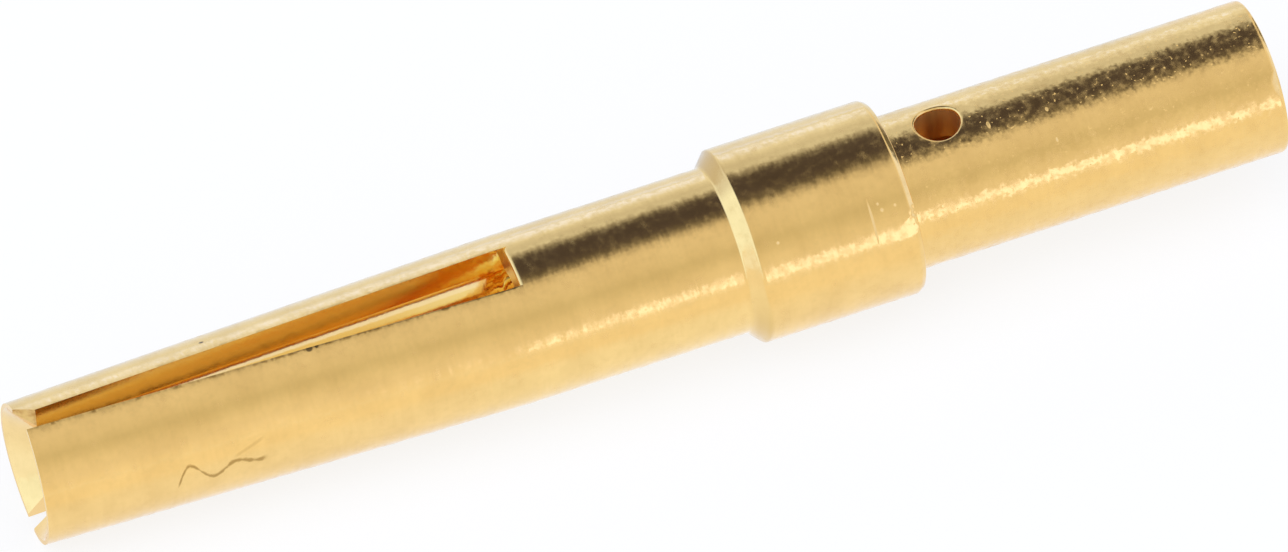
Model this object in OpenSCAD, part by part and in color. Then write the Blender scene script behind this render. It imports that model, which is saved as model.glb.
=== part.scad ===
// Turned female crimp contact for a sub-miniature D connector.
// Millimetres. The contact axis lies along X: the spring tines point to -X, the crimp barrel to +X.
// The slot between the tines opens upward, toward +Z.
// The origin is on the axis, in the plane of the collar's rear face.

/* [Mating end] */
// Diameter of the pin that the tines grip
pin_diameter = 1.0; // [0.94:0.02:1.06]
// Diameter of the drilled socket over the pin's own
socket_clearance = 0.13; // [0.04:0.01:0.18]
// Length of the tines, from the tip to the root of the slot
tine_length = 5.31; // [4.5:0.01:6]
// How far the drilled socket runs on past the slot root
socket_past_slot = 0.35; // [0.1:0.05:0.6]
// Width of the slot as sawn, before the tines are closed
slot_width = 0.53; // [0.45:0.01:0.6]
// How far the near tine is pinched in at its tip
near_tine_close = 0.20; // [0:0.01:0.2]
// How far the far tine is pinched in at its tip
far_tine_close = 0.13; // [0:0.01:0.2]
// Distance of the bend in the tines from the slot root
bend_setback = 0.15; // [0.05:0.05:0.4]
// Flat land left at the tip between the countersunk mouth and the edge break, on the radius
tip_land = 0.03; // [0.02:0.01:0.15]
// Edge break round the outside of the tip
tip_edge = 0.02; // [0.01:0.01:0.06]

/* [Body] */
// Outer diameter of the tines and of the front body
front_diameter = 1.77; // [1.7:0.01:1.9]
// Length of the unslotted front body, from the slot root to the shoulder
neck_length = 2.26; // [1.6:0.05:3]
// Diameter of the retention collar
collar_diameter = 2.08; // [1.98:0.01:2.4]
// Length of the collar's cylinder
collar_length = 1.72; // [1:0.01:2.5]
// Angle of the shoulder in front of the collar, from the axis
shoulder_angle = 48; // [30:1:70]
// Edge break on the collar's rear rim
collar_edge = 0.05; // [0.02:0.01:0.07]

/* [Crimp barrel] */
// Outer diameter of the crimp barrel
barrel_diameter = 1.64; // [1.6:0.01:1.8]
// Length of the crimp barrel behind the collar
barrel_length = 4.08; // [3.5:0.05:5]
// Diameter of the stranded conductor that the barrel takes
wire_diameter = 0.76; // [0.5:0.02:1.04]
// Diameter of the wire bore over the conductor's own
wire_clearance = 0.10; // [0.06:0.01:0.16]
// Depth of the wire bore to the start of its drill point
wire_bore_depth = 3.79; // [3.2:0.01:3.9]
// Countersink at the mouth of the wire bore, on the radius
wire_lead_in = 0.08; // [0.04:0.01:0.12]
// Edge break round the outside of the crimp end
barrel_edge = 0.05; // [0.02:0.01:0.06]

/* [Inspection hole] */
// Diameter of the hole that shows the wire
hole_diameter = 0.47; // [0.35:0.01:0.6]
// Distance of the hole's centre from the collar's rear face
hole_offset = 0.58; // [0.5:0.01:1]
// Angle of the hole round the axis, from the slot
hole_turn = 8; // [-30:1:30]
// Deburred rim round the hole, on the radius
hole_rim = 0.04; // [0.03:0.01:0.08]

/* [Hidden] */
$fn = 96;

plating_color = [0.86, 0.70, 0.40];
// Half of the included angle of a drill point
drill_point_half_angle = 59;
// Half of the included angle of a countersink
countersink_half_angle = 45;
// Overrun of a cutter past the surface that it opens
overrun = 0.5;

front_radius = front_diameter / 2;
collar_radius = collar_diameter / 2;
barrel_radius = barrel_diameter / 2;
socket_radius = (pin_diameter + socket_clearance) / 2;
// Widening of the mouth that leads the pin in, on the radius
lead_in = front_radius - tip_edge - tip_land - socket_radius;
wire_bore_radius = (wire_diameter + wire_clearance) / 2;
hole_radius = hole_diameter / 2;

shoulder_length = (collar_radius - front_radius) / tan(shoulder_angle);
neck_end_x = -collar_length - shoulder_length;
root_x = neck_end_x - neck_length;
tip_x = root_x - tine_length;
bend_x = root_x - bend_setback;
socket_end_x = root_x + socket_past_slot;

bent_length = tine_length - bend_setback;
near_angle = atan(near_tine_close / bent_length);
far_angle = atan(far_tine_close / bent_length);
// A block larger than the whole contact
block = 2 * (tine_length + neck_length + collar_length + barrel_length);

// Turns a shape drawn along Z so that it runs along X
module along_axis(x) {
  translate([x, 0, 0])
    rotate([0, 90, 0])
      children();
}

// All space ahead of the bend on one side of the slot, cut off along the mitre of that tine's bend
module ahead_of_bend(side, angle) {
  translate([bend_x, 0, 0])
    rotate([0, 0, side * angle / 2])
      translate([-block, side > 0 ? 0 : -block, -block / 2])
        cube(block);
}

// A blind drilled hole that opens toward +Z and ends in a drill point at -Z
module drilled(radius, depth) {
  point = radius / tan(drill_point_half_angle);
  translate([0, 0, -depth])
    cylinder(h = depth + overrun, r = radius);
  translate([0, 0, -depth - point])
    cylinder(h = point, r1 = 0, r2 = radius);
}

// Countersink that opens a hole out by a given amount where it meets the plane Z = 0
module countersink(radius, widen) {
  slope = tan(countersink_half_angle);
  small_end = radius / 2;
  deep = (radius + widen - small_end) / slope;
  translate([0, 0, -deep])
    cylinder(h = deep + overrun, r1 = small_end, r2 = radius + widen + overrun * slope);
}

// The tines as turned and sawn, still straight
module straight_tines() {
  difference() {
    along_axis(tip_x)
      rotate_extrude()
        polygon([
          [0, 0],
          [front_radius - tip_edge, 0],
          [front_radius, tip_edge],
          [front_radius, tine_length + neck_length / 2],
          [0, tine_length + neck_length / 2]
        ]);
    along_axis(tip_x - overrun)
      cylinder(h = tine_length + neck_length + overrun, r = socket_radius);
    translate([tip_x, 0, 0])
      rotate([0, -90, 0])
        countersink(socket_radius, lead_in);
    translate([tip_x - overrun, -slot_width / 2, -block / 2])
      cube([tine_length + neck_length + overrun, slot_width, block]);
  }
}

// One tine swung inward about the bend near its root
module tine(side, angle) {
  intersection() {
    translate([bend_x, 0, 0])
      rotate([0, 0, side * angle])
        translate([-bend_x, 0, 0])
          straight_tines();
    ahead_of_bend(side, angle);
  }
}

// Everything behind the bend, turned from bar
module turned_body() {
  difference() {
    along_axis(0)
      rotate_extrude()
        polygon([
          [0, bend_x - overrun],
          [front_radius, bend_x - overrun],
          [front_radius, neck_end_x],
          [collar_radius, -collar_length],
          [collar_radius, -collar_edge],
          [collar_radius - collar_edge, 0],
          [barrel_radius, 0],
          [barrel_radius, barrel_length - barrel_edge],
          [barrel_radius - barrel_edge, barrel_length],
          [0, barrel_length]
        ]);
    translate([bend_x - overrun, 0, 0])
      rotate([0, -90, 0])
        drilled(socket_radius, socket_end_x - bend_x + overrun);
    translate([bend_x - 2 * overrun, -slot_width / 2, -block / 2])
      cube([bend_setback + 2 * overrun, slot_width, block]);
    ahead_of_bend(-1, near_angle);
    ahead_of_bend(1, far_angle);
  }
}

// Wire bore, its countersunk mouth and the inspection hole in the upper wall
module barrel_cuts() {
  along_axis(barrel_length) {
    drilled(wire_bore_radius, wire_bore_depth);
    countersink(wire_bore_radius, wire_lead_in);
  }
  translate([hole_offset, 0, 0])
    rotate([-hole_turn, 0, 0]) {
      cylinder(h = barrel_radius + overrun, r = hole_radius);
      translate([0, 0, barrel_radius])
        countersink(hole_radius, hole_rim);
    }
}

module contact() {
  color(plating_color)
    difference() {
      union() {
        turned_body();
        tine(-1, near_angle);
        tine(1, far_angle);
      }
      barrel_cuts();
    }
}

contact();
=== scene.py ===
import math

import bmesh
import bpy
from mathutils import Matrix, Quaternion, Vector


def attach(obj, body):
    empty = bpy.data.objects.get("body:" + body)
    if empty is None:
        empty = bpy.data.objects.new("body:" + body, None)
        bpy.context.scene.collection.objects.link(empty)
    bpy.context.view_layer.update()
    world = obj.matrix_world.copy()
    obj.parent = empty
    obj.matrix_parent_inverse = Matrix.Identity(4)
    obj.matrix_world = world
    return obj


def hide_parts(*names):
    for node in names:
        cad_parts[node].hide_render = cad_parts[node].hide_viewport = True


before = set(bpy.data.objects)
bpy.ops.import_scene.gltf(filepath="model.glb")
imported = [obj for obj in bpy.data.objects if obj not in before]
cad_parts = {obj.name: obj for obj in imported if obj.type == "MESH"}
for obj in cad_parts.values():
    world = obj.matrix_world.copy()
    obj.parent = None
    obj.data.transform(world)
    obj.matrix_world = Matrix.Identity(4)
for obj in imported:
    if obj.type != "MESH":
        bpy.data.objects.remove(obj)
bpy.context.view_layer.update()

MM = 0.001
# Tolerance for places that should be the same, in millimetres
SMALL = 1e-4

# Sizes of the turned contact, in millimetres. Its axis lies along X, with the collar's rear face
# at X = 0 and the tines toward -X.
FRONT_RADIUS = 0.885
COLLAR_RADIUS = 1.04
BARREL_RADIUS = 0.82
SOCKET_RADIUS = 0.565
WIRE_BORE_RADIUS = 0.43
TINE_LENGTH = 5.31
NECK_LENGTH = 2.26
COLLAR_LENGTH = 1.72
BARREL_LENGTH = 4.08
SOCKET_PAST_SLOT = 0.35
WIRE_BORE_DEPTH = 3.79
BEND_SETBACK = 0.15
SHOULDER_SLOPE = math.tan(math.radians(48))
DRILL_POINT_SLOPE = math.tan(math.radians(59))

# Places along the axis
NECK_END_X = -COLLAR_LENGTH - (COLLAR_RADIUS - FRONT_RADIUS) / SHOULDER_SLOPE
SLOT_ROOT_X = NECK_END_X - NECK_LENGTH
BEND_X = SLOT_ROOT_X - BEND_SETBACK
TIP_X = SLOT_ROOT_X - TINE_LENGTH
SOCKET_END_X = SLOT_ROOT_X + SOCKET_PAST_SLOT
WIRE_BORE_END_X = BARREL_LENGTH - WIRE_BORE_DEPTH

# Edges: the lands, countersinks and edge breaks, and the size and steps of the roundings
TIP_LAND = 0.05
MOUTH_LEAD_IN = FRONT_RADIUS - TIP_LAND - SOCKET_RADIUS
WIRE_LEAD_IN = 0.08
COLLAR_RIM_LENGTH = 0.058
COLLAR_RIM_DROP = 0.033
BARREL_RIM_LENGTH = 0.035
BARREL_RIM_DROP = 0.014
SOFT_EDGE = 0.015
TIP_EDGE = 0.005
EDGE_STEPS = 4
# A straight run is held true at this distance from a rounded corner, counted in roundings, if it
# is this many times as long
HELD_AT = 2.2
HELD_RUN = 2.5

# Slot and tines
SLOT_WIDTH = 0.53
HALF_SLOT = SLOT_WIDTH / 2
NEAR_TINE_CLOSE = 0.20
FAR_TINE_CLOSE = 0.13
BEND_SPREAD = 0.30
BEND_STEPS = 7
BEND_PLACES = [BEND_X + BEND_SPREAD * (step / (BEND_STEPS - 1) - 0.5) for step in range(BEND_STEPS)]
ROOT_EDGE = 0.045
SLOT_EDGE = 0.018
SLOT_EDGE_STEPS = 3
SHARP_EDGE = math.radians(30)
# Distance from the tip within which no long edge of the slot is eased
UNEASED_LENGTH = 0.2
# The near tine ends a little short of the far one, most of all at the slot's upper edge. The shift
# reaches this far past the mouth.
NEAR_TIP_SHORT = 0.015
NEAR_TIP_SLANT = 0.025
NEAR_TIP_REACH = 0.1
# Upper corner of the far tine that is cut off: along the slot's edge and across the tine's end
CORNER_CUT_LENGTH = 0.20
CORNER_CUT_WIDTH = 0.14

# Inspection hole
HOLE_RADIUS = 0.235
HOLE_RIM = 0.035
HOLE_RIM_STEPS = 5
HOLE_X = 0.58
HOLE_TURN = math.radians(8)

TURN_STEPS = 256
# A patch of the barrel and of its bore is opened for the hole: half its length, how much shorter it
# is in the bore, half its width in steps of the turning, and its rows of faces
PATCH_HALF_LENGTH = 0.42
BORE_PATCH_SHORTER = 0.16
PATCH_FRONT_X = HOLE_X - PATCH_HALF_LENGTH
PATCH_BACK_X = HOLE_X + PATCH_HALF_LENGTH
BORE_PATCH_FRONT_X = PATCH_FRONT_X + BORE_PATCH_SHORTER
OUTER_PATCH_STEPS = 20
OUTER_PATCH_ROWS = 30
BORE_PATCH_STEPS = 30
BORE_PATCH_ROWS = 10
# Rings of edges added between the patch's border and the hole
PATCH_RINGS = 4
# How far the faces of a round wall may lie off its radius
WALL_REACH = 0.02

# Finishes of the plated surface
TURNED, SAWN, DRILLED, BORED, BROKEN = range(5)
SHADING_ANGLE = math.radians(32)
# How squarely a face of a bore at least faces the axis, and a face of the tips' ends looks forward
FACES_AXIS = 0.3
FACES_FORWARD = 0.9
# Closing and trimming the tines move their ends a little, so these are looked for with a margin
TIP_MARGIN = 0.08
MOUTH_MARGIN = 0.05


def off_axis(point):
    """Distance of a point from the contact's axis."""
    return math.hypot(point.y, point.z)


def in_order(items):
    """The items without repeats, always in the same order."""
    return list(dict.fromkeys(items))


def with_borders(faces):
    """Faces with their edges and points."""
    return in_order(part for f in faces for part in (f, *f.edges, *f.verts))


def outline_points():
    """Half section of the contact, from the socket's drill point round to the wire bore's.

    Each corner has its place along the axis, its radius and its rounding.
    """
    socket_point = SOCKET_END_X + SOCKET_RADIUS / DRILL_POINT_SLOPE
    wire_point = WIRE_BORE_END_X - WIRE_BORE_RADIUS / DRILL_POINT_SLOPE
    return [
        (socket_point, 0, 0),
        (SOCKET_END_X, SOCKET_RADIUS, 0),
        (TIP_X + MOUTH_LEAD_IN, SOCKET_RADIUS, SOFT_EDGE),
        (TIP_X, SOCKET_RADIUS + MOUTH_LEAD_IN, TIP_EDGE),
        (TIP_X, FRONT_RADIUS, TIP_EDGE),
        (NECK_END_X, FRONT_RADIUS, SOFT_EDGE),
        (-COLLAR_LENGTH, COLLAR_RADIUS, SOFT_EDGE),
        (-COLLAR_RIM_LENGTH, COLLAR_RADIUS, SOFT_EDGE),
        (0, COLLAR_RADIUS - COLLAR_RIM_DROP, SOFT_EDGE),
        (0, BARREL_RADIUS, SOFT_EDGE),
        (PATCH_FRONT_X, BARREL_RADIUS, 0),
        (PATCH_BACK_X, BARREL_RADIUS, 0),
        (BARREL_LENGTH - BARREL_RIM_LENGTH, BARREL_RADIUS, SOFT_EDGE),
        (BARREL_LENGTH, BARREL_RADIUS - BARREL_RIM_DROP, SOFT_EDGE),
        (BARREL_LENGTH, WIRE_BORE_RADIUS + WIRE_LEAD_IN, SOFT_EDGE),
        (BARREL_LENGTH - WIRE_LEAD_IN, WIRE_BORE_RADIUS, SOFT_EDGE),
        (PATCH_BACK_X, WIRE_BORE_RADIUS, 0),
        (BORE_PATCH_FRONT_X, WIRE_BORE_RADIUS, 0),
        (WIRE_BORE_END_X, WIRE_BORE_RADIUS, 0),
        (wire_point, 0, 0),
    ]


def held_runs(points):
    """Adds a point near each rounded end of a long straight run, so that the rounding doesn't shade
    the run."""
    held = points[:1]
    for (x0, radius0, round0), (x1, radius1, round1) in zip(points, points[1:]):
        length = math.hypot(x1 - x0, radius1 - radius0)
        for share, rounding in ((HELD_AT * round0 / length, round0),
                                (1 - HELD_AT * round1 / length, round1)):
            if rounding and length > HELD_RUN * HELD_AT * rounding:
                held.append((x0 + (x1 - x0) * share, radius0 + (radius1 - radius0) * share, 0))
        held.append((x1, radius1, round1))
    return held


def turned_body(bm):
    """Spins the half section round the axis. The section starts at the hole's own angle."""
    outward = Vector((0, math.sin(HOLE_TURN), math.cos(HOLE_TURN)))
    points = held_runs(outline_points())
    verts = [bm.verts.new(Vector((x, 0, 0)) + outward * radius) for x, radius, _ in points]
    for a, b in zip(verts, verts[1:]):
        bm.edges.new((a, b))
    for size in (SOFT_EDGE, TIP_EDGE):
        corners = [v for v, (_, _, rounding) in zip(verts, points) if rounding == size]
        bmesh.ops.bevel(bm, geom=corners, offset=size, offset_type="OFFSET", segments=EDGE_STEPS,
                        profile=0.5, affect="VERTICES", material=-1)
    for radius, rows in ((BARREL_RADIUS, OUTER_PATCH_ROWS), (WIRE_BORE_RADIUS, BORE_PATCH_ROWS)):
        patch = []
        for e in bm.edges:
            front, back = sorted(v.co.x for v in e.verts)
            on_wall = all(abs(off_axis(v.co) - radius) < SMALL for v in e.verts)
            if on_wall and front < HOLE_X < back:
                patch.append(e)
        bmesh.ops.subdivide_edges(bm, edges=patch, cuts=rows - 1)
    bmesh.ops.spin(bm, geom=bm.verts[:] + bm.edges[:], cent=(0, 0, 0), axis=(1, 0, 0),
                   dvec=(0, 0, 0), angle=2 * math.pi, steps=TURN_STEPS, use_merge=True)
    bmesh.ops.remove_doubles(bm, verts=bm.verts[:], dist=SMALL)
    bmesh.ops.recalc_face_normals(bm, faces=bm.faces[:])


def cut_across(bm, x):
    """Adds a ring of edges right across the contact at one place along its axis."""
    bmesh.ops.bisect_plane(bm, geom=bm.verts[:] + bm.edges[:] + bm.faces[:], dist=SMALL / 10,
                           plane_co=(x, 0, 0), plane_no=(1, 0, 0))


def tine_faces(bm):
    """All faces ahead of the slot's root."""
    return [f for f in bm.faces if f.calc_center_median().x < SLOT_ROOT_X - SMALL]


def saw_slot(bm):
    """Saws the slot through both walls of the socket and closes its side walls and its roots."""
    cut_across(bm, SLOT_ROOT_X)
    for side in (-1, 1):
        bmesh.ops.bisect_plane(bm, geom=with_borders(tine_faces(bm)), dist=SMALL / 10,
                               plane_co=(0, side * HALF_SLOT, 0), plane_no=(0, 1, 0))
    gone = [f for f in tine_faces(bm) if abs(f.calc_center_median().y) < HALF_SLOT - SMALL]
    bmesh.ops.delete(bm, geom=gone, context="FACES")
    for up in (-1, 1):
        root_edges, sawn = [], []
        for side in (-1, 1):
            rim = [e for e in bm.edges if e.is_boundary
                   and all(abs(v.co.y - side * HALF_SLOT) < SMALL and v.co.z * up > 0
                           for v in e.verts)]
            corners = sorted(in_order(v for e in rim for v in e.verts
                                      if abs(v.co.x - SLOT_ROOT_X) < SMALL),
                             key=lambda v: abs(v.co.z))
            made = bmesh.ops.contextual_create(bm, geom=[corners[0], corners[-1]])["edges"]
            root_edges += made
            sawn += bmesh.ops.contextual_create(bm, geom=rim + made)["faces"]
        arcs = [e for e in bm.edges if e.is_boundary and e not in root_edges
                and all(abs(v.co.x - SLOT_ROOT_X) < SMALL and abs(v.co.y) < HALF_SLOT + SMALL
                        and v.co.z * up > 0 for v in e.verts)]
        sawn += bmesh.ops.contextual_create(bm, geom=arcs + root_edges)["faces"]
        for wall in sawn:
            wall.material_index = SAWN
    bmesh.ops.recalc_face_normals(bm, faces=bm.faces[:])


def break_far_corner(bm):
    """Cuts off the upper corner of the far tine, where the slot runs out into the mouth."""
    upper = []
    for f in tine_faces(bm):
        middle = f.calc_center_median()
        if middle.y > 0 and middle.z > 0:
            upper.append(f)
    cut = bmesh.ops.bisect_plane(bm, geom=with_borders(upper), dist=SMALL / 10, clear_outer=True,
                                 plane_co=(TIP_X + CORNER_CUT_LENGTH, HALF_SLOT, 0),
                                 plane_no=(-CORNER_CUT_WIDTH, -CORNER_CUT_LENGTH, 0))
    rim = [e for e in cut["geom_cut"] if isinstance(e, bmesh.types.BMEdge)]
    for facet in bmesh.ops.contextual_create(bm, geom=rim)["faces"]:
        facet.material_index = BROKEN
    bmesh.ops.recalc_face_normals(bm, faces=bm.faces[:])


def slot_rim(bm, along_root):
    """Edges where the slot meets the outside: those of its roots, or the long ones."""
    rim = []
    for e in bm.edges:
        outside = all(off_axis(v.co) >= FRONT_RADIUS - SMALL for v in e.verts)
        if not outside or len(e.link_faces) != 2 or e.calc_face_angle() < SHARP_EDGE:
            continue
        front, back = sorted(v.co.x for v in e.verts)
        ahead_of_root = back < SLOT_ROOT_X + SMALL
        at_root = front > SLOT_ROOT_X - SMALL and ahead_of_root
        on_side = all(abs(abs(v.co.y) - HALF_SLOT) < SMALL for v in e.verts)
        is_long = on_side and front > TIP_X + UNEASED_LENGTH and ahead_of_root
        if at_root if along_root else is_long:
            rim.append(e)
    return rim


def ease_slot_edges(bm):
    """Takes the sharpness off the slot's roots and off its long edges."""
    for along_root, size in ((True, ROOT_EDGE), (False, SLOT_EDGE)):
        bmesh.ops.bevel(bm, geom=slot_rim(bm, along_root), offset=size, offset_type="OFFSET",
                        segments=SLOT_EDGE_STEPS, profile=0.5, affect="EDGES", material=-1,
                        clamp_overlap=True)


def trim_near_tip(bm):
    """Sets the end of the near tine back, slanting."""
    for v in bm.verts:
        if v.co.y < 0 and v.co.x < TIP_X + MOUTH_LEAD_IN + NEAR_TIP_REACH:
            v.co.x += NEAR_TIP_SHORT + NEAR_TIP_SLANT * v.co.z


def close_tines(bm):
    """Swings each tine inward in small steps along the bend near its root."""
    for side, close in ((-1, NEAR_TINE_CLOSE), (1, FAR_TINE_CLOSE)):
        swing = side * math.atan(close / (BEND_X - TIP_X))
        tine = [(v, v.co.x) for v in bm.verts if v.co.y * side > 0 and v.co.x < SLOT_ROOT_X]
        for bend in BEND_PLACES:
            moved = [v for v, x in tine if x < bend - SMALL]
            bmesh.ops.rotate(bm, verts=moved, cent=(bend, 0, 0),
                             matrix=Matrix.Rotation(swing / BEND_STEPS, 3, "Z"))


def open_patch(bm, radius, steps, front, back):
    """Takes out a patch of one round wall and returns the edges round it."""
    half_angle = 2 * math.pi / TURN_STEPS * steps
    gone = []
    for f in bm.faces:
        middle = f.calc_center_median()
        turn = math.atan2(middle.y, middle.z) - HOLE_TURN
        on_wall = abs(off_axis(middle) - radius) < WALL_REACH
        if on_wall and front < middle.x < back and abs(turn) < half_angle:
            gone.append(f)
    rim = in_order(e for f in gone for e in f.edges)
    bmesh.ops.delete(bm, geom=gone, context="FACES")
    return [e for e in rim if e.is_valid and e.is_boundary]


def hole_ring(bm, count, hole_radius, wall_radius, sink):
    """A ring of the drilled hole where it meets a round wall, or a little below that."""
    made = bmesh.ops.create_circle(bm, cap_ends=False, segments=count, radius=hole_radius)["verts"]
    for v in made:
        along, across = v.co.x, v.co.y
        height = math.sqrt(wall_radius ** 2 - across ** 2) - sink
        v.co = Vector((HOLE_X + along, across, height))
    bmesh.ops.rotate(bm, verts=made, cent=(0, 0, 0), matrix=Matrix.Rotation(-HOLE_TURN, 3, "X"))
    return in_order(e for v in made for e in v.link_edges)


def join_rings(bm, first, second):
    """Bridges two rings and returns the edges that run between them."""
    ends = set(first + second)
    made = bmesh.ops.bridge_loops(bm, edges=first + second)
    return [e for f in made["faces"] for e in f.edges if e not in ends]


def drill_inspection_hole(bm):
    """Drills the hole through the barrel's upper wall, with a rounded edge at its mouth."""
    outer_rim = open_patch(bm, BARREL_RADIUS, OUTER_PATCH_STEPS, PATCH_FRONT_X, PATCH_BACK_X)
    bore_rim = open_patch(bm, WIRE_BORE_RADIUS, BORE_PATCH_STEPS, BORE_PATCH_FRONT_X, PATCH_BACK_X)
    rings = []
    for step in range(HOLE_RIM_STEPS + 1):
        roll = math.pi / 2 * step / HOLE_RIM_STEPS
        rings.append(hole_ring(bm, len(outer_rim), HOLE_RADIUS + HOLE_RIM * (1 - math.sin(roll)),
                               BARREL_RADIUS, HOLE_RIM * (1 - math.cos(roll))))
    rings.append(hole_ring(bm, len(bore_rim), HOLE_RADIUS, WIRE_BORE_RADIUS, 0))
    for upper, lower in zip(rings, rings[1:]):
        join_rings(bm, upper, lower)
    spokes = join_rings(bm, outer_rim, rings[0]) + join_rings(bm, bore_rim, rings[-1])
    new = bmesh.ops.subdivide_edges(bm, edges=in_order(spokes), cuts=PATCH_RINGS,
                                    use_grid_fill=True)
    for v in [part for part in new["geom_inner"] if isinstance(part, bmesh.types.BMVert)]:
        distance = off_axis(v.co)
        radius = min((BARREL_RADIUS, WIRE_BORE_RADIUS), key=lambda wall: abs(wall - distance))
        v.co.y *= radius / distance
        v.co.z *= radius / distance


def mark_drilled_faces(bm):
    """Gives the walls of the socket, the wire bore and the hole, and the tips, their finish."""
    mouth_back = TIP_X + MOUTH_LEAD_IN + MOUTH_MARGIN
    tip_back = TIP_X + TIP_MARGIN
    for f in bm.faces:
        middle = f.calc_center_median()
        distance = off_axis(middle)
        inward = -(f.normal.y * middle.y + f.normal.z * middle.z) / max(distance, SMALL)
        in_mouth = middle.x < mouth_back or middle.x > BARREL_LENGTH - WIRE_LEAD_IN
        in_bore = inward > FACES_AXIS and not in_mouth
        in_hole = (abs(middle.x - HOLE_X) < HOLE_RADIUS + SMALL
                   and WIRE_BORE_RADIUS < distance < BARREL_RADIUS - HOLE_RIM)
        on_tip = middle.x < tip_back and f.normal.x < -FACES_FORWARD
        if f.material_index != SAWN and (in_bore or in_hole or on_tip):
            f.material_index = DRILLED if middle.x < 0 and not on_tip else BORED


def make_contact():
    """The whole contact as one mesh, made in millimetres and then brought to metres."""
    bm = bmesh.new()
    turned_body(bm)
    for bend in BEND_PLACES:
        cut_across(bm, bend)
    saw_slot(bm)
    break_far_corner(bm)
    ease_slot_edges(bm)
    trim_near_tip(bm)
    close_tines(bm)
    drill_inspection_hole(bm)
    bmesh.ops.recalc_face_normals(bm, faces=bm.faces[:])
    mark_drilled_faces(bm)
    bmesh.ops.scale(bm, vec=(MM, MM, MM), verts=bm.verts[:])
    mesh = bpy.data.meshes.new("gold_contact")
    bm.to_mesh(mesh)
    bm.free()
    mesh.shade_smooth()
    mesh.set_sharp_from_angle(angle=SHADING_ANGLE)
    for flat in mesh.polygons:
        if flat.material_index == SAWN:
            flat.use_smooth = False
    piece = bpy.data.objects.new("gold_contact", mesh)
    bpy.context.scene.collection.objects.link(piece)
    return piece


# Colours of the plating. Most finishes waver between two of them.
TURNED_TONES = (0.965, 0.645, 0.235, 1), (0.835, 0.545, 0.190, 1)
# Painted shade: darker gold on the lower half of the shoulder
SHOULDER_UNDERSIDE_SHADE = (0.76, 0.49, 0.165, 1)
# Painted shade: darker gold on the back side of the shoulder
SHOULDER_BACK_SHADE = (0.70, 0.44, 0.155, 1)
# Brown of the fine wavy mark on the near tine, and painted shade along the slot's burr
MARK_AND_BURR_SHADE_BROWN = (0.50, 0.30, 0.085, 1)
SPECK_BROWN = (0.20, 0.13, 0.05, 1)
# Paler gold: painted light in the slot by its root and in the socket past the slot
PAINTED_LIGHT_GOLD = (0.97, 0.92, 0.66, 1)
SAWN_TONES = (0.915, 0.75, 0.38, 1), (0.895, 0.715, 0.35, 1)
# Painted light: the sawn walls turn paler toward the root
SAWN_ROOT_PAINTED_LIGHT_TONES = PAINTED_LIGHT_GOLD, (0.95, 0.87, 0.57, 1)
ROOT_TONES = (0.95, 0.67, 0.23, 1), (0.93, 0.64, 0.21, 1)
# Painted shade along the far wall's upper edge
FAR_WALL_EDGE_SHADE = (0.47, 0.31, 0.11, 1)
WALL_LOWER_END = (0.93, 0.62, 0.245, 1)
SOCKET_GOLD = (0.93, 0.665, 0.285, 1)
SOCKET_STREAK = (0.92, 0.65, 0.28, 1)
TIP_TONES = (0.913, 0.604, 0.216, 1), (0.85, 0.54, 0.18, 1)
# Painted light: paler gold inside the barrel's bore and hole
BORE_PAINTED_LIGHT_TONES = (0.99, 0.72, 0.31, 1), (0.95, 0.66, 0.27, 1)
# Painted shade: dark colours of the broken corner
BROKEN_CORNER_SHADE_TONES = (0.50, 0.24, 0.05, 1), (0.75, 0.45, 0.125, 1)


def add_node(tree, kind, **settings):
    """A new shader node with its settings."""
    node = tree.nodes.new("ShaderNode" + kind)
    for name, value in settings.items():
        setattr(node, name, value)
    return node


def feed(tree, socket, value):
    """Links a socket to another node's output, or sets a plain value on it."""
    if isinstance(value, bpy.types.NodeSocket):
        tree.links.new(value, socket)
    else:
        socket.default_value = value


def calc(tree, operation, *values, kind="Math"):
    """Result of a node that calculates, a Math node unless another kind is given."""
    node = add_node(tree, kind, operation=operation)
    for socket, value in zip(node.inputs, values):
        feed(tree, socket, value)
    return node.outputs[0]


def vector_calc(tree, operation, *values):
    """Result of a Vector Math node."""
    return calc(tree, operation, *values, kind="VectorMath")


def scaled(tree, vector, amount):
    """A vector times a value."""
    node = add_node(tree, "VectorMath", operation="SCALE")
    feed(tree, node.inputs["Vector"], vector)
    feed(tree, node.inputs["Scale"], amount)
    return node.outputs[0]


def around(tree, wave, middle, swing):
    """A value that sways about a middle one, with the wave."""
    return calc(tree, "MULTIPLY_ADD", wave, swing, middle)


def blend(tree, mask, plain, other):
    """One value where the mask is 0 and the other where it is 1."""
    return around(tree, mask, plain, other - plain)


def ramp(tree, value, low, high):
    """Mask: 0 at one value and 1 at the other, eased between them."""
    node = add_node(tree, "MapRange", interpolation_type="SMOOTHSTEP")
    feed(tree, node.inputs["Value"], value)
    node.inputs["From Min"].default_value = low
    node.inputs["From Max"].default_value = high
    return node.outputs["Result"]


def ramp_mm(tree, value, low, high):
    """The same for a length, with both values in millimetres."""
    return ramp(tree, value, low * MM, high * MM)


def overlap(tree, *masks):
    """Product of the masks: 1 only where all of them are."""
    shared, *others = masks
    for mask in others:
        shared = calc(tree, "MULTIPLY", mask, shared)
    return shared


def noise(tree, place, per_metre, detail):
    """Noise about zero, from about -0.5 to 0.5."""
    node = add_node(tree, "TexNoise")
    feed(tree, node.inputs["Vector"], place)
    node.inputs["Scale"].default_value = per_metre
    node.inputs["Detail"].default_value = detail
    return calc(tree, "SUBTRACT", node.outputs["Fac"], 0.5)


def tinted(tree, mask, plain, other):
    """Plain colour where the mask is 0 and the other colour where it is 1."""
    node = add_node(tree, "Mix", data_type="RGBA")
    for socket, value in ((0, mask), (6, plain), (7, other)):
        feed(tree, node.inputs[socket], value)
    return node.outputs[2]


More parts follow.
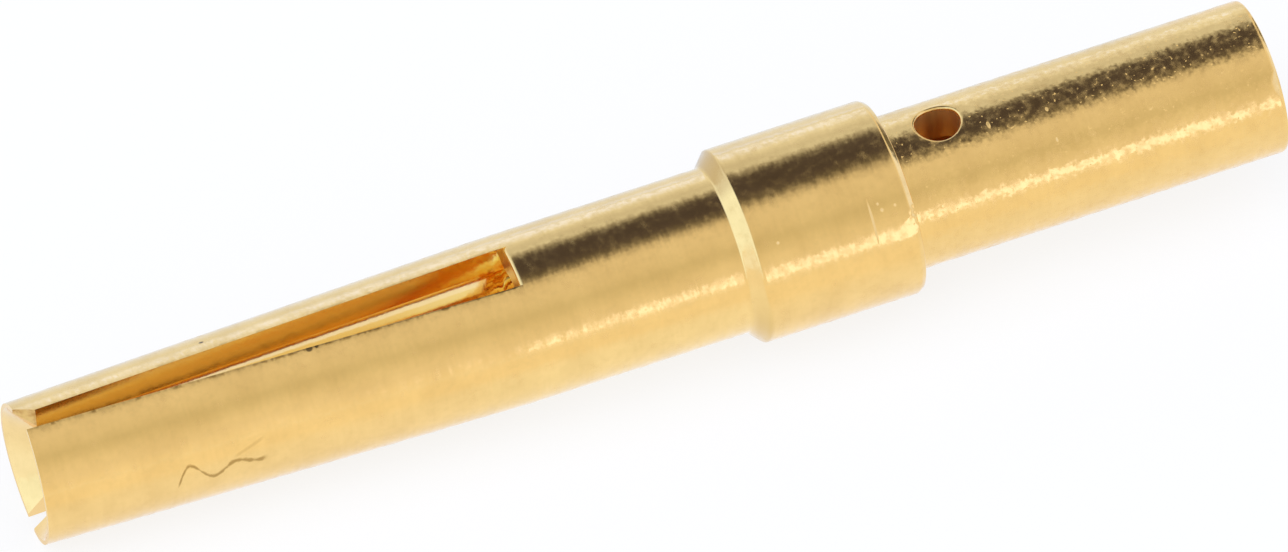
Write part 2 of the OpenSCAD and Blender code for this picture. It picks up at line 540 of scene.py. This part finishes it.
def split(tree, vector):
    """The three parts of a vector."""
    parts = add_node(tree, "SeparateXYZ")
    tree.links.new(vector, parts.inputs[0])
    return parts.outputs


def object_place(tree):
    """The object's own coordinates."""
    return add_node(tree, "TexCoord").outputs["Object"]


def plain_normal(tree):
    """The surface's own normal."""
    return add_node(tree, "NewGeometry").outputs["Normal"]


def turning_marks_group():
    """Fine rings left by the tool: a normal that sways round the axis and along it, and a tone."""
    tree = bpy.data.node_groups.new("turning_marks", "ShaderNodeTree")
    face = tree.interface
    for name, value in (("Rings per Metre", 22000), ("Breaks per Metre", 2500), ("Sway", 0.05),
                        ("Lean", 0.05)):
        socket = face.new_socket(name, in_out="INPUT", socket_type="NodeSocketFloat")
        socket.default_value = value
    face.new_socket("Normal", in_out="OUTPUT", socket_type="NodeSocketVector")
    face.new_socket("Tone", in_out="OUTPUT", socket_type="NodeSocketFloat")
    given = tree.nodes.new("NodeGroupInput").outputs
    out = tree.nodes.new("NodeGroupOutput").inputs
    spread = add_node(tree, "CombineXYZ")
    for axis, name in zip("XYZ", ("Rings per Metre", "Breaks per Metre", "Breaks per Metre")):
        tree.links.new(given[name], spread.inputs[axis])
    rings = add_node(tree, "TexNoise")
    rings.inputs["Scale"].default_value = 1
    rings.inputs["Detail"].default_value = 3
    stretched = vector_calc(tree, "MULTIPLY", object_place(tree), spread.outputs[0])
    tree.links.new(stretched, rings.inputs["Vector"])
    x, y, z = split(tree, vector_calc(tree, "SUBTRACT", rings.outputs["Color"], (0.5, 0.5, 0.5)))
    normal = plain_normal(tree)
    round_axis = vector_calc(tree, "CROSS_PRODUCT", (1, 0, 0), normal)
    sway = calc(tree, "MULTIPLY", x, given["Sway"])
    lean = calc(tree, "MULTIPLY", y, given["Lean"])
    swayed = vector_calc(tree, "ADD", normal, scaled(tree, round_axis, sway))
    leaning = vector_calc(tree, "ADD", swayed, scaled(tree, (1, 0, 0), lean))
    tree.links.new(vector_calc(tree, "NORMALIZE", leaning), out["Normal"])
    tree.links.new(z, out["Tone"])
    return tree


def grain_group():
    """Fine uneven grain: a normal that wavers every way."""
    tree = bpy.data.node_groups.new("grain", "ShaderNodeTree")
    face = tree.interface
    face.new_socket("Normal", in_out="INPUT", socket_type="NodeSocketVector")
    for name, value in (("Grains per Metre", 16000), ("Tilt", 0.1)):
        socket = face.new_socket(name, in_out="INPUT", socket_type="NodeSocketFloat")
        socket.default_value = value
    face.new_socket("Normal", in_out="OUTPUT", socket_type="NodeSocketVector")
    given = tree.nodes.new("NodeGroupInput").outputs
    out = tree.nodes.new("NodeGroupOutput").inputs
    speck = add_node(tree, "TexNoise")
    speck.inputs["Detail"].default_value = 2
    tree.links.new(object_place(tree), speck.inputs["Vector"])
    tree.links.new(given["Grains per Metre"], speck.inputs["Scale"])
    sway = vector_calc(tree, "SUBTRACT", speck.outputs["Color"], (0.5, 0.5, 0.5))
    leaning = vector_calc(tree, "ADD", given["Normal"], scaled(tree, sway, given["Tilt"]))
    tree.links.new(vector_calc(tree, "NORMALIZE", leaning), out["Normal"])
    return tree


def place_group(tree, group, **values):
    """A node group with its inputs given, and its outputs."""
    node = add_node(tree, "Group", node_tree=group)
    for name, value in values.items():
        feed(tree, node.inputs[name.replace("_", " ")], value)
    return node.outputs


def gold(name):
    """A plain gold material, with its node tree and the sockets of its shader."""
    mat = bpy.data.materials.new(name)
    mat.use_nodes = True
    sockets = mat.node_tree.nodes["Principled BSDF"].inputs
    sockets["Metallic"].default_value = 1
    return mat, mat.node_tree, sockets


# Fine wavy mark on the near tine, in millimetres: its first crest, the length of its waves and the
# length over which they die away, how far they swing and about which height
HAIRLINE_X = TIP_X + 1.535
HAIRLINE_WAVE = 0.49
HAIRLINE_FADE = 0.459
HAIRLINE_SWING = 0.136
HAIRLINE_Z = 0.112
# Its faint side branch: slope, and height at the first crest
BRANCH_SLOPE = 0.378
BRANCH_Z = 0.0357
BRANCH_STRENGTH = 0.28
# Borders over which the mark and its branch set in: their starts and their common end past the
# first crest, their half widths, and the near side
HAIRLINE_START = (-0.175, -0.135)
BRANCH_START = (0.435, 0.515)
HAIRLINE_END = (0.815, 0.735)
HAIRLINE_HALF_WIDTH = (0.038, 0.004)
BRANCH_HALF_WIDTH = (0.03, 0.005)
HAIRLINE_SIDE = (-0.62, -0.65)
HAIRLINE_UNEVEN = 0.06


def hairline(tree, place, x, y, z):
    """Mask of the fine wavy mark on the near tine and of its side branch."""
    along = calc(tree, "SUBTRACT", x, HAIRLINE_X * MM)
    fade = calc(tree, "EXPONENT", calc(tree, "MULTIPLY", along, -1 / (HAIRLINE_FADE * MM)))
    turn = calc(tree, "MULTIPLY", along, 2 * math.pi / (HAIRLINE_WAVE * MM))
    wave = calc(tree, "MULTIPLY", fade, calc(tree, "COSINE", turn))
    line = around(tree, wave, HAIRLINE_Z * MM, HAIRLINE_SWING * MM)
    off = calc(tree, "ABSOLUTE", calc(tree, "SUBTRACT", z, line))
    waver = noise(tree, place, per_metre=12000, detail=2)
    uneven = around(tree, waver, off, HAIRLINE_UNEVEN * MM)
    mark = overlap(tree, ramp_mm(tree, uneven, *HAIRLINE_HALF_WIDTH),
                   ramp_mm(tree, along, *HAIRLINE_START))
    branch = around(tree, along, BRANCH_Z * MM, BRANCH_SLOPE)
    aside = calc(tree, "ABSOLUTE", calc(tree, "SUBTRACT", z, branch))
    faint = overlap(tree, ramp_mm(tree, aside, *BRANCH_HALF_WIDTH),
                    ramp_mm(tree, along, *BRANCH_START))
    mark = calc(tree, "MAXIMUM", mark, calc(tree, "MULTIPLY", faint, BRANCH_STRENGTH))
    return overlap(tree, mark, ramp_mm(tree, along, *HAIRLINE_END),
                   ramp_mm(tree, y, *HAIRLINE_SIDE))


# Small nicks on the near side, in millimetres: place, then half size along each axis
NICKS = [
    ((-0.466, -0.778, 0.690), (0.017, 0.27, 0.29)),
    ((-0.370, -0.657, 0.810), (0.016, 0.02, 0.02)),
    ((-0.344, -0.710, 0.760), (0.022, 0.025, 0.025)),
    ((-0.199, -0.704, 0.765), (0.018, 0.02, 0.02)),
    ((-1.479, -0.704, 0.765), (0.020, 0.02, 0.02)),
    ((1.048, -0.134, 0.809), (0.020, 0.05, 0.02)),
    ((1.665, -0.476, 0.668), (0.015, 0.03, 0.04)),
    ((1.676, -0.166, 0.803), (0.018, 0.03, 0.02)),
    ((4.055, -0.600, 0.560), (0.075, 0.15, 0.15)),
]
# Dark specks by the edges of the slot, in the same way
SPECKS = [
    ((-6.390, -0.195, 0.840), (0.042, 0.040, 0.030)),
    ((-6.310, -0.190, 0.842), (0.020, 0.030, 0.030)),
    ((-7.365, 0.359, 0.770), (0.030, 0.025, 0.025)),
]
# Border of each of these spots, in half sizes from its middle
SPOT_BORDER = (1.1, 0.6)


def spots(tree, place, places):
    """Mask of a list of small spots."""
    mask = 0.0
    for spot, half in places:
        apart = vector_calc(tree, "SUBTRACT", place, Vector(spot) * MM)
        apart = vector_calc(tree, "DIVIDE", apart, Vector(half) * MM)
        length = add_node(tree, "VectorMath", operation="LENGTH")
        tree.links.new(apart, length.inputs[0])
        mask = calc(tree, "MAXIMUM", ramp(tree, length.outputs["Value"], *SPOT_BORDER), mask)
    return mask


# Rubbed place by the collar's rear rim, in millimetres: the height of its sloping top at the rear
# face, the slope, how ragged it is, and the borders over which it sets in, below that top, above
# its foot, on the near side and along the axis
RUBBED_TOP_Z = 0.76
RUBBED_TOP_SLOPE = 0.85
RUBBED_RAGGED = 0.10
RUBBED_BELOW_TOP = (0.0, 0.05)
RUBBED_FOOT = (0.46, 0.50)
RUBBED_SIDE = (-0.70, -0.75)
RUBBED_START = (-0.36, -0.28)
# The way that it faces, and how far this outweighs the round surface
RUBBED_FACING = (0, -0.866, 0.5)
RUBBED_WEIGHT = 4.0


def rubbed_corner(tree, place, x, y, z):
    """Mask of the rubbed place by the collar's rear rim, a ragged wedge on the near side."""
    waver = noise(tree, place, per_metre=14000, detail=2)
    ragged = around(tree, waver, z, RUBBED_RAGGED * MM)
    top = around(tree, x, RUBBED_TOP_Z * MM, RUBBED_TOP_SLOPE)
    below_top = calc(tree, "SUBTRACT", top, ragged)
    patchy = ramp(tree, noise(tree, place, per_metre=9000, detail=2), -0.12, 0.04)
    return overlap(tree, ramp_mm(tree, below_top, *RUBBED_BELOW_TOP),
                   ramp_mm(tree, ragged, *RUBBED_FOOT), ramp_mm(tree, y, *RUBBED_SIDE),
                   ramp_mm(tree, x, *RUBBED_START), patchy)


# Painted shade: a dark line along the burr on the slot's upper edges. The borders of its half
# width and of the height from which it shows, in millimetres, and its strength on either edge
BURR_HALF_WIDTH = (0.042, 0.012)
BURR_FROM_Z = (0.6, 0.7)
NEAR_BURR = 1.0
FAR_BURR = 0.45


def slot_burr_shade(tree, place, x, y, z):
    """Mask: painted shade along the ragged burr of the slot's upper edges, fainter on the far one.
    """
    past_bend = calc(tree, "MAXIMUM", calc(tree, "SUBTRACT", BEND_X * MM, x), 0.0)
    sides = []
    for side, close, strength in ((-1, NEAR_TINE_CLOSE, NEAR_BURR), (1, FAR_TINE_CLOSE, FAR_BURR)):
        edge = around(tree, past_bend, side * HALF_SLOT * MM, -side * close / (BEND_X - TIP_X))
        off = calc(tree, "ABSOLUTE", calc(tree, "SUBTRACT", y, edge))
        sides.append(calc(tree, "MULTIPLY", ramp_mm(tree, off, *BURR_HALF_WIDTH), strength))
    ragged = ramp(tree, noise(tree, place, per_metre=9000, detail=3), -0.02, 0.14)
    return overlap(tree, calc(tree, "MAXIMUM", *sides), ramp_mm(tree, z, *BURR_FROM_Z),
                   ramp_mm(tree, x, SLOT_ROOT_X + 0.04, SLOT_ROOT_X), ragged)


# How strongly the barrel's bright grains show, and how far they and the nicks lean along the axis
GLINT_STRENGTH = 0.6
GLINT_LEAN = 0.3


def turned_normal(tree, rings, grain, place, x, y, z, on_barrel):
    """Normal of the turned outside: rings, a grain that is coarser on the barrel, bright grains and
    nicks that catch the light, and the rubbed place."""
    roughened = place_group(tree, grain, Normal=rings["Normal"],
                            Grains_per_Metre=blend(tree, on_barrel, plain=28000, other=20000),
                            Tilt=blend(tree, on_barrel, plain=0.06, other=0.20))["Normal"]
    bright = ramp(tree, noise(tree, place, per_metre=26000, detail=2), 0.13, 0.24)
    glints = overlap(tree, bright, calc(tree, "MULTIPLY", on_barrel, GLINT_STRENGTH))
    catch = calc(tree, "MAXIMUM", spots(tree, place, NICKS), glints)
    catch = calc(tree, "MULTIPLY", catch, GLINT_LEAN)
    rubbed = calc(tree, "MULTIPLY", rubbed_corner(tree, place, x, y, z), RUBBED_WEIGHT)
    marked = vector_calc(tree, "ADD", roughened, scaled(tree, (1, 0, 0), catch))
    marked = vector_calc(tree, "ADD", marked, scaled(tree, RUBBED_FACING, rubbed))
    return vector_calc(tree, "NORMALIZE", marked)


def turned_gold(marks, grain):
    """The turned outside of the contact, with its small marks, and painted shade on the shoulder
    and along the slot's burr.
    """
    mat, tree, sockets = gold("turned_gold")
    place = object_place(tree)
    x, y, z = split(tree, place)
    on_barrel = ramp_mm(tree, x, 0.02, 0.10)
    rings = place_group(tree, marks, Rings_per_Metre=22000, Breaks_per_Metre=2500, Sway=0.085,
                        Lean=0.10)
    feed(tree, sockets["Normal"], turned_normal(tree, rings, grain, place, x, y, z, on_barrel))

    mottle = ramp(tree, noise(tree, place, per_metre=11000, detail=3), -0.12, 0.3)
    dull = calc(tree, "MULTIPLY", mottle, blend(tree, on_barrel, plain=0.17, other=0.23))
    cloud = noise(tree, place, per_metre=1800, detail=3)
    rough = around(tree, cloud, blend(tree, on_barrel, plain=0.12, other=0.13), swing=0.04)
    feed(tree, sockets["Roughness"], calc(tree, "ADD", dull, rough))

    tone = around(tree, noise(tree, place, per_metre=2600, detail=3), middle=0.4, swing=1.5)
    tone = around(tree, mottle, tone, swing=0.25)
    tone = around(tree, rings["Tone"], tone, swing=0.5)
    shade = tinted(tree, tone, *TURNED_TONES)
    # Painted shade: the lower half of the shoulder is darker
    under = overlap(tree, ramp_mm(tree, z, 0.5, -0.2),
                    ramp_mm(tree, x, NECK_END_X - 0.04, NECK_END_X + 0.06),
                    ramp_mm(tree, x, -COLLAR_LENGTH + 0.06, -COLLAR_LENGTH - 0.01))
    # Painted shade: the back side of the shoulder is darker
    over = overlap(tree, ramp_mm(tree, y, -0.15, 0.05),
                   ramp_mm(tree, x, NECK_END_X - 0.01, NECK_END_X + 0.03),
                   ramp_mm(tree, x, -COLLAR_LENGTH + 0.02, -COLLAR_LENGTH - 0.02))
    # The wavy mark is a real mark; the dark line along the slot's burr is painted shade
    marked = calc(tree, "MAXIMUM", hairline(tree, place, x, y, z), slot_burr_shade(tree, place, x, y, z))
    for mask, colour in ((under, SHOULDER_UNDERSIDE_SHADE), (over, SHOULDER_BACK_SHADE), (marked, MARK_AND_BURR_SHADE_BROWN),
                         (spots(tree, place, SPECKS), SPECK_BROWN)):
        shade = tinted(tree, mask, shade, colour)
    feed(tree, sockets["Base Color"], shade)
    return mat


# The saw's streaks run along the slot
SAWN_STRETCH = (0.075, 1, 1)


def sawn_gold(grain):
    """Sawn walls of the slot, smoother by its root and paler there, which is painted light. Toward
    the tip the far wall has painted shade along its upper edge, and is golden at its lower end."""
    mat, tree, sockets = gold("sawn_gold")
    place = object_place(tree)
    x, y, z = split(tree, place)
    fine = place_group(tree, grain, Normal=plain_normal(tree), Grains_per_Metre=20000, Tilt=0.04)
    feed(tree, sockets["Normal"], fine["Normal"])

    stretched = vector_calc(tree, "MULTIPLY", place, SAWN_STRETCH)
    streaks = noise(tree, stretched, per_metre=20000, detail=3)
    by_root = ramp_mm(tree, x, SLOT_ROOT_X - 1.48, SLOT_ROOT_X - 0.18)
    on_root = ramp_mm(tree, x, SLOT_ROOT_X - 0.004, SLOT_ROOT_X - 0.001)
    rough = around(tree, streaks, middle=0.16, swing=0.10)
    rough = around(tree, by_root, rough, swing=-0.08)
    feed(tree, sockets["Roughness"], around(tree, on_root, rough, swing=0.26))

    tone = around(tree, streaks, middle=0.4, swing=0.8)
    shade = tinted(tree, tone, *SAWN_TONES)
    # Painted light: paler toward the root
    shade = tinted(tree, by_root, shade, tinted(tree, tone, *SAWN_ROOT_PAINTED_LIGHT_TONES))
    shade = tinted(tree, on_root, shade, tinted(tree, tone, *ROOT_TONES))
    # Painted shade: a dark band along the far wall's upper edge, toward the tip
    far_edge = overlap(tree, ramp_mm(tree, y, 0.02, 0.06), ramp_mm(tree, z, 0.70, 0.79),
                       ramp_mm(tree, x, TIP_X + 1.53, TIP_X + 0.43))
    shade = tinted(tree, far_edge, shade, FAR_WALL_EDGE_SHADE)
    lower_end = overlap(tree, ramp_mm(tree, z, -0.2, -0.35),
                        ramp_mm(tree, x, TIP_X + 0.53, TIP_X + 0.33))
    feed(tree, sockets["Base Color"], tinted(tree, lower_end, shade, WALL_LOWER_END))
    return mat


def drilled_gold(marks):
    """Wall of the socket, smoother past the slot and paler there, which is painted light."""
    mat, tree, sockets = gold("drilled_gold")
    rings = place_group(tree, marks, Rings_per_Metre=15000, Breaks_per_Metre=1200, Sway=0.04,
                        Lean=0.10)
    feed(tree, sockets["Normal"], rings["Normal"])
    x = split(tree, object_place(tree))["X"]
    past_slot = ramp_mm(tree, x, SLOT_ROOT_X - 0.2, SLOT_ROOT_X + 0.05)
    rough = around(tree, rings["Tone"], middle=0.12, swing=0.1)
    feed(tree, sockets["Roughness"], around(tree, past_slot, rough, swing=-0.08))
    # Painted light: paler past the slot, where the socket is closed
    shade = tinted(tree, past_slot, SOCKET_GOLD, PAINTED_LIGHT_GOLD)
    tone = around(tree, rings["Tone"], middle=0.4, swing=0.8)
    feed(tree, sockets["Base Color"], tinted(tree, tone, shade, SOCKET_STREAK))
    return mat


def bored_gold(marks):
    """The tips' ends, and the walls of the wire bore and of the inspection hole. In the barrel
    their colour is paler, which is painted light in the bore and the hole.
    """
    mat, tree, sockets = gold("bored_gold")
    rings = place_group(tree, marks, Rings_per_Metre=12000, Breaks_per_Metre=1000, Sway=0.06,
                        Lean=0.15)
    feed(tree, sockets["Normal"], rings["Normal"])
    feed(tree, sockets["Roughness"], around(tree, rings["Tone"], middle=0.42, swing=0.2))
    tone = calc(tree, "ADD", rings["Tone"], 0.5)
    # Painted light: paler inside the barrel
    in_barrel = ramp_mm(tree, split(tree, object_place(tree))["X"], 0.0, 0.1)
    shade = tinted(tree, in_barrel, tinted(tree, tone, *TIP_TONES),
                   tinted(tree, tone, *BORE_PAINTED_LIGHT_TONES))
    feed(tree, sockets["Base Color"], shade)
    return mat


def broken_gold(grain):
    """The broken corner of the far tine, uneven and duller than the turned surface, and darker,
    which is painted shade.
    """
    mat, tree, sockets = gold("broken_gold")
    lumps = place_group(tree, grain, Normal=plain_normal(tree), Grains_per_Metre=9000, Tilt=0.5)
    feed(tree, sockets["Normal"], lumps["Normal"])
    cloud = noise(tree, object_place(tree), per_metre=12000, detail=2)
    feed(tree, sockets["Roughness"], around(tree, cloud, middle=0.35, swing=0.2))
    # Painted shade: the broken corner's colour is darkened
    feed(tree, sockets["Base Color"], tinted(tree, ramp(tree, cloud, -0.15, 0.15), *BROKEN_CORNER_SHADE_TONES))
    return mat


contact = make_contact()
marks, grain = turning_marks_group(), grain_group()
# In the order of the finishes: turned, sawn, drilled, bored, broken
for finish in (turned_gold(marks, grain), sawn_gold(grain), drilled_gold(marks), bored_gold(marks),
               broken_gold(grain)):
    contact.data.materials.append(finish)
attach(contact, "root")
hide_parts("contact")


# Photograph's view: the axis leans toward the camera at the tines, the camera looks down past the
# slot, and the picture is slanted
VIEW_LEAN = math.radians(10.5)
VIEW_TURN = math.radians(37)
PICTURE_SLANT = math.radians(18)
PICTURE_WIDTH = 13.197 * MM
CAMERA_DISTANCE = 0.2
AIM_X = -2.716 * MM
SENSOR_WIDTH = 36


def aim_camera():
    """A long-lens camera in the photograph's view."""
    facing = Vector((0, -math.sin(VIEW_TURN), math.cos(VIEW_TURN)))
    upward = Vector((0, math.cos(VIEW_TURN), math.sin(VIEW_TURN)))
    axis = Vector((1, 0, 0))
    toward = facing * math.cos(VIEW_LEAN) - axis * math.sin(VIEW_LEAN)
    along = axis * math.cos(VIEW_LEAN) + facing * math.sin(VIEW_LEAN)
    right = along * math.cos(PICTURE_SLANT) - upward * math.sin(PICTURE_SLANT)
    above = along * math.sin(PICTURE_SLANT) + upward * math.cos(PICTURE_SLANT)
    data = bpy.data.cameras.new("camera")
    data.sensor_fit = "HORIZONTAL"
    data.sensor_width = SENSOR_WIDTH
    data.lens = SENSOR_WIDTH * CAMERA_DISTANCE / PICTURE_WIDTH
    data.clip_start = 0.01
    data.clip_end = 2
    camera = bpy.data.objects.new("camera", data)
    turn = Matrix((right, above, toward)).transposed().to_4x4()
    spot = Vector((AIM_X, 0, 0)) + toward * CAMERA_DISTANCE
    camera.matrix_world = Matrix.Translation(spot) @ turn
    bpy.context.scene.collection.objects.link(camera)
    bpy.context.scene.camera = camera


# The contact lies on its collar and on the tips of its tines
FLOOR_TILT = math.radians(1.458)
FLOOR_RADIUS = 0.18
FLOOR_STEPS = 96
FLOOR_COLOUR = (0.93, 0.93, 0.93, 1)
WHITE = (1, 1, 1, 1)
# Share of plain white in the floor as the camera sees it; the rest takes the shadow
FLOOR_GLOW = 0.80


def floor_material():
    """Pale floor. As the contact mirrors it, the floor glows with tinted light in soft-edged
    patches.
    """
    mat = bpy.data.materials.new("pale_floor")
    mat.use_nodes = True
    tree = mat.node_tree
    tree.nodes.clear()
    x, y, _ = split(tree, object_place(tree))
    aside = calc(tree, "ABSOLUTE", y)
    in_front = ramp_mm(tree, y, -4.5, -1.6)
    by_axis = ramp_mm(tree, aside, 9, 5)
    patches = [
        (in_front, (0.98, 1.03, 1.16, 1)),
        (overlap(tree, in_front, ramp_mm(tree, x, -5.5, -4), ramp_mm(tree, x, -1.2, -1.8)),
         (1.01, 1.09, 1.24, 1)),
        (ramp_mm(tree, y, -1, 3), (0.86, 0.97, 1.14, 1)),
        (overlap(tree, ramp_mm(tree, y, 8, 14), ramp_mm(tree, x, -3, -2),
                 ramp_mm(tree, x, 3.6, 2.6)), (0.90, 1.12, 1.90, 1)),
        (overlap(tree, ramp_mm(tree, x, -9, -11), by_axis), (1.05, 1.25, 1.75, 1)),
        (overlap(tree, ramp_mm(tree, x, 3.5, 6), by_axis), (1.00, 1.04, 1.12, 1)),
    ]
    shade = WHITE
    for mask, colour in patches:
        shade = tinted(tree, mask, shade, colour)
    path = add_node(tree, "LightPath").outputs
    mirrored = calc(tree, "MAXIMUM", path["Is Glossy Ray"], path["Is Transmission Ray"])
    plain = add_node(tree, "BsdfDiffuse")
    plain.inputs["Color"].default_value = FLOOR_COLOUR
    glow = add_node(tree, "Emission")
    feed(tree, glow.inputs["Color"], tinted(tree, mirrored, WHITE, shade))
    mix = add_node(tree, "MixShader")
    feed(tree, mix.inputs[0], around(tree, path["Is Camera Ray"], mirrored, FLOOR_GLOW))
    feed(tree, mix.inputs[1], plain.outputs[0])
    feed(tree, mix.inputs[2], glow.outputs[0])
    feed(tree, add_node(tree, "OutputMaterial").inputs["Surface"], mix.outputs[0])
    return mat


def lay_floor():
    """Floor under the collar and the tips of the tines, on which the contact lies."""
    bm = bmesh.new()
    bmesh.ops.create_circle(bm, cap_ends=True, segments=FLOOR_STEPS, radius=FLOOR_RADIUS)
    bmesh.ops.rotate(bm, verts=bm.verts[:], cent=(0, 0, 0),
                     matrix=Matrix.Rotation(FLOOR_TILT, 3, "Y"))
    bmesh.ops.translate(bm, verts=bm.verts[:], vec=(-COLLAR_LENGTH * MM, 0, -COLLAR_RADIUS * MM))
    mesh = bpy.data.meshes.new("floor")
    bm.to_mesh(mesh)
    bm.free()
    mesh.materials.append(floor_material())
    floor = bpy.data.objects.new("floor", mesh)
    bpy.context.scene.collection.objects.link(floor)


# Light of the studio round the contact, from the floor behind it over the top to the floor in
# front: a pale wall, a dark gap overhead and a soft tent on the camera's side
STUDIO = [
    (0.00, (0.98, 1.15, 1.50)),
    (0.04, (0.92, 1.05, 1.35)),
    (0.08, (0.88, 1.00, 1.25)),
    (0.150, (0.68, 0.76, 0.96)),
    (0.202, (0.76, 0.87, 1.12)),
    (0.226, (0.43, 0.465, 0.545)),
    (0.254, (0.155, 0.155, 0.180)),
    (0.286, (0.084, 0.077, 0.104)),
    (0.36, (0.074, 0.068, 0.092)),
    (0.40, (0.088, 0.080, 0.106)),
    (0.444, (0.128, 0.122, 0.130)),
    (0.470, (0.285, 0.28, 0.28)),
    (0.496, (0.63, 0.63, 0.64)),
    (0.525, (0.79, 0.79, 0.81)),
    (0.56, (0.825, 0.825, 0.85)),
    (0.67, (0.785, 0.785, 0.775)),
    (0.73, (0.70, 0.70, 0.66)),
    (0.78, (0.77, 0.77, 0.74)),
    (0.84, (0.86, 0.86, 0.86)),
    (0.90, (0.89, 0.89, 0.91)),
    (1.00, (1.00, 1.00, 1.00)),
]
# Height of the light that draws the far edge, in radians over the horizon
FAR_EDGE_RISE = 0.075
# Light from other parts of the studio
FAR_EDGE_LIGHT = (1.04, 1.32, 2.45, 1)
PAST_COLLAR_LIGHT = (0.9, 0.9, 0.92, 1)
TIP_LIGHT = (1.08, 1.38, 2.0, 1)
BARREL_LIGHT = (0.98, 1.12, 1.62, 1)
REAR_GAP_LIGHT = (0.17, 0.17, 0.17, 1)


def light_studio():
    """The studio as the contact mirrors it. The camera itself sees plain white."""
    world = bpy.data.worlds.new("studio")
    bpy.context.scene.world = world
    world.use_nodes = True
    tree = world.node_tree
    tree.nodes.clear()
    # Direction of the light: X runs from -1 past the tines to 1 past the crimp end
    x, y, z = split(tree, add_node(tree, "TexCoord").outputs["Generated"])
    over = calc(tree, "ARCTAN2", z, y)
    turn = calc(tree, "DIVIDE", over, math.pi)
    round_axis = add_node(tree, "ValToRGB")
    stops = round_axis.color_ramp.elements
    while len(stops) < len(STUDIO):
        stops.new(1)
    for stop, (place, colour) in zip(stops, STUDIO):
        stop.position = place
        stop.color = (*colour, 1)
    feed(tree, round_axis.inputs["Fac"], turn)
    above_edge = calc(tree, "ABSOLUTE", calc(tree, "SUBTRACT", over, FAR_EDGE_RISE))
    far_edge = overlap(tree, ramp(tree, above_edge, 0.21, 0.02), ramp(tree, x, 0.140, 0.160),
                       ramp(tree, x, 0.205, 0.192))
    rear_gap = overlap(tree, ramp(tree, turn, 0.0, 0.05), ramp(tree, turn, 0.36, 0.30),
                       ramp(tree, x, 0.58, 0.66), ramp(tree, x, 0.95, 0.91))
    shade = round_axis.outputs["Color"]
    for mask, colour in ((far_edge, FAR_EDGE_LIGHT),
                         (ramp(tree, x, 0.30, 0.42), PAST_COLLAR_LIGHT),
                         (ramp(tree, x, -0.35, -0.85), TIP_LIGHT),
                         (ramp(tree, x, 0.5, 0.85), BARREL_LIGHT),
                         (rear_gap, REAR_GAP_LIGHT)):
        shade = tinted(tree, mask, shade, colour)
    tent = add_node(tree, "Background")
    feed(tree, tent.inputs["Color"], shade)
    white = add_node(tree, "Background")
    white.inputs["Color"].default_value = WHITE
    mix = add_node(tree, "MixShader")
    feed(tree, mix.inputs[0], add_node(tree, "LightPath").outputs["Is Camera Ray"])
    feed(tree, mix.inputs[1], tent.outputs[0])
    feed(tree, mix.inputs[2], white.outputs[0])
    feed(tree, add_node(tree, "OutputWorld").inputs["Surface"], mix.outputs[0])


def hang_lamp(name, spot, width, height, power, colour, roll=0):
    """An area lamp that faces the contact."""
    data = bpy.data.lights.new(name, "AREA")
    data.shape = "RECTANGLE"
    data.size = width
    data.size_y = height
    data.energy = power
    data.color = colour
    lamp = bpy.data.objects.new(name, data)
    lamp.location = spot
    facing = (-Vector(spot)).to_track_quat("-Z", "Y")
    lamp.rotation_euler = (facing @ Quaternion((0, 0, 1), roll)).to_euler()
    lamp.visible_camera = False
    bpy.context.scene.collection.objects.link(lamp)
    return lamp


def hang_lamps():
    """A low strip lamp in front of the crimp end, which draws the bright line, and a soft lamp over
    the floor."""
    far, turn, rise = 0.12, math.radians(16.4), math.radians(8)
    spot = Vector((math.sin(turn) * math.cos(rise), -math.cos(turn) * math.cos(rise),
                   math.sin(rise))) * far
    hang_lamp("strip_lamp", spot, width=0.033, height=0.025, power=0.0016, colour=(0.85, 1.0, 1.9),
              roll=math.radians(-12))
    over = hang_lamp("floor_lamp", (-0.05, -0.02, 0.16), width=0.16, height=0.16, power=0.13,
                     colour=(1, 1, 1))
    over.visible_glossy = False


aim_camera()
lay_floor()
light_studio()
hang_lamps()
bpy.context.scene.view_settings.view_transform = "Standard"
# Light has to leave the slot and the bores again after many turns between their walls
bpy.context.scene.cycles.max_bounces = 24
bpy.context.scene.cycles.glossy_bounces = 24
